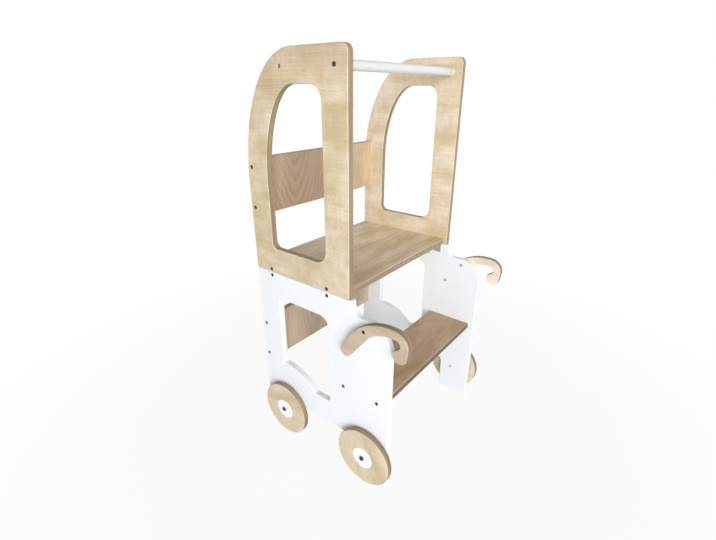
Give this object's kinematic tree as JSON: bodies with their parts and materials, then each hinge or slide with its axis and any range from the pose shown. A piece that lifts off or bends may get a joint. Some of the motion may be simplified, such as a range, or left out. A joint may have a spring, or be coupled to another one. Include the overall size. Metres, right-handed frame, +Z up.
{
  "type": "toddler kitchen tower",
  "caption": "Toddler kitchen tower: plywood upper frame with platform on a white cart-like base with step, toy wheels and cane handles; the upper half swings back to form a table.",
  "frame": {"origin": "on the floor, under the middle of the whole object's bounding box", "axes": "+Z up; the front, where the child climbs on, faces -Y; the object's left panel as seen from behind the child is at -X"},
  "size_m": [0.4672, 0.4306, 0.9004],
  "materials": {
    "birch_panel": "clear satin varnish on pale birch plywood",
    "birch_board": "satin varnish on darker rotary-cut plywood",
    "birch_toy": "clear satin varnish on plywood",
    "white_panel": "satin white paint on plywood",
    "white_bar": "satin white paint on a round bar",
    "white_hub": "satin white paint on a thin disc",
    "dark_screw": "blackened steel",
    "zinc": "zinc-plated steel",
    "bush": "natural nylon"
  },
  "bodies": {
    "lower_frame": {"lower_side_left": "white_panel", "lower_side_right": "white_panel", "table_board": "birch_board", "lower_back_board": "birch_board", "step_board": "birch_board", "table_board_screws": "dark_screw", "back_board_screws": "dark_screw", "step_screws": "dark_screw", "handle_left": "birch_toy", "handle_right": "birch_toy", "handle_bolts": "dark_screw", "handle_nuts": "zinc", "handle_screws": "zinc", "axle_bolts": "dark_screw", "axle_washers": "zinc", "axle_nuts": "zinc", "hinge_leaf_lower_left": "zinc", "hinge_leaf_lower_right": "zinc", "hinge_pin_left": "zinc", "hinge_pin_right": "zinc", "hinge_screws_lower": "zinc", "strike_plate": "zinc", "strike_screws": "zinc"},
    "upper_frame": {"upper_side_left": "birch_panel", "upper_side_right": "birch_panel", "standing_platform": "birch_board", "upper_back_rail": "birch_board", "front_bar": "white_bar", "bar_screws": "dark_screw", "platform_screws": "dark_screw", "upper_rail_screws": "dark_screw", "hinge_leaf_upper_left": "zinc", "hinge_leaf_upper_right": "zinc", "hinge_screws_upper": "zinc", "bolt_body": "zinc", "bolt_body_screws": "zinc"},
    "slide_bolt": {"bolt_rod": "zinc"},
    "front_left_wheel": {"wheel_front_left": "birch_toy", "hub_disc_front_left": "white_hub", "wheel_bush_front_left": "bush"},
    "front_right_wheel": {"wheel_front_right": "birch_toy", "hub_disc_front_right": "white_hub", "wheel_bush_front_right": "bush"},
    "rear_left_wheel": {"wheel_rear_left": "birch_toy", "hub_disc_rear_left": "white_hub", "wheel_bush_rear_left": "bush"},
    "rear_right_wheel": {"wheel_rear_right": "birch_toy", "hub_disc_rear_right": "white_hub", "wheel_bush_rear_right": "bush"}
  },
  "joints": [
    {"name": "flip", "type": "hinge", "parent": "lower_frame", "child": "upper_frame", "pos_m": [0, 0.2125, 0.4502], "axis": [-1, 0, 0], "range_deg": [0, 180]},
    {"name": "bolt_slide", "type": "slide", "parent": "upper_frame", "child": "slide_bolt", "axis": [1, 0, 0], "range_m": [0, 0.012]},
    {"name": "front_left_spin", "type": "hinge", "parent": "lower_frame", "child": "front_left_wheel", "pos_m": [-0.2218, -0.1156, 0.079], "axis": [1, 0, 0], "continuous": true},
    {"name": "front_right_spin", "type": "hinge", "parent": "lower_frame", "child": "front_right_wheel", "pos_m": [0.2218, -0.1156, 0.079], "axis": [1, 0, 0], "continuous": true},
    {"name": "rear_left_spin", "type": "hinge", "parent": "lower_frame", "child": "rear_left_wheel", "pos_m": [-0.2218, 0.1344, 0.079], "axis": [1, 0, 0], "continuous": true},
    {"name": "rear_right_spin", "type": "hinge", "parent": "lower_frame", "child": "rear_right_wheel", "pos_m": [0.2218, 0.1344, 0.079], "axis": [1, 0, 0], "continuous": true}
  ]
}
